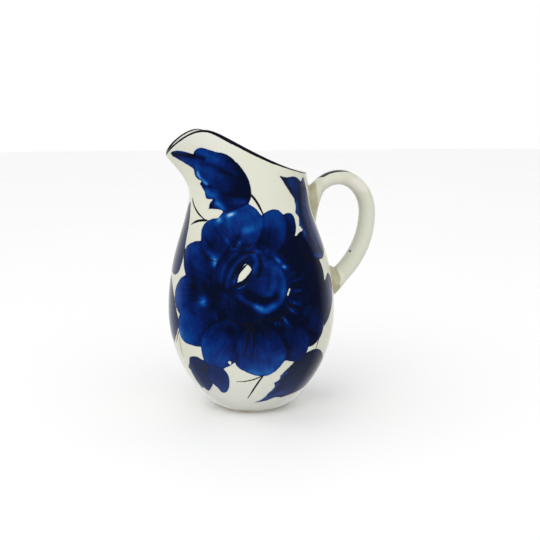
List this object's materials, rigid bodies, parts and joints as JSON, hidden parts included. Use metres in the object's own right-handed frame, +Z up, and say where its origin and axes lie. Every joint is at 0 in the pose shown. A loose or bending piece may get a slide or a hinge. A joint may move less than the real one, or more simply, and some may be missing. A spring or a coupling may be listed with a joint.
{
  "type": "porcelain cream jug",
  "caption": "Pear-shaped cream jug with a drawn-out lip, slanting rim and loop handle, hand painted in cobalt with a peony and leaves under a clear glaze.",
  "frame": {"origin": "middle of the foot ring's underside, on the surface that the jug stands on", "axes": "+Z up; the pouring lip points along -X and the handle along +X; the jug is symmetric about the XZ plane"},
  "size_m": [0.0906, 0.0716, 0.1196],
  "materials": {
    "painted_glaze": "clear glossy glaze over cream porcelain with cobalt brush painting",
    "handle_glaze": "clear glossy glaze over cream porcelain with one blue stroke",
    "slip_glaze": "glaze pooled over the luting slip, slightly darker",
    "biscuit": "unglazed, wiped clean and slightly stained"
  },
  "bodies": {
    "root": {"jug_body": "painted_glaze", "foot_ring": "biscuit", "handle": "handle_glaze", "upper_handle_joint": "slip_glaze", "lower_handle_joint": "slip_glaze"}
  },
  "joints": []
}
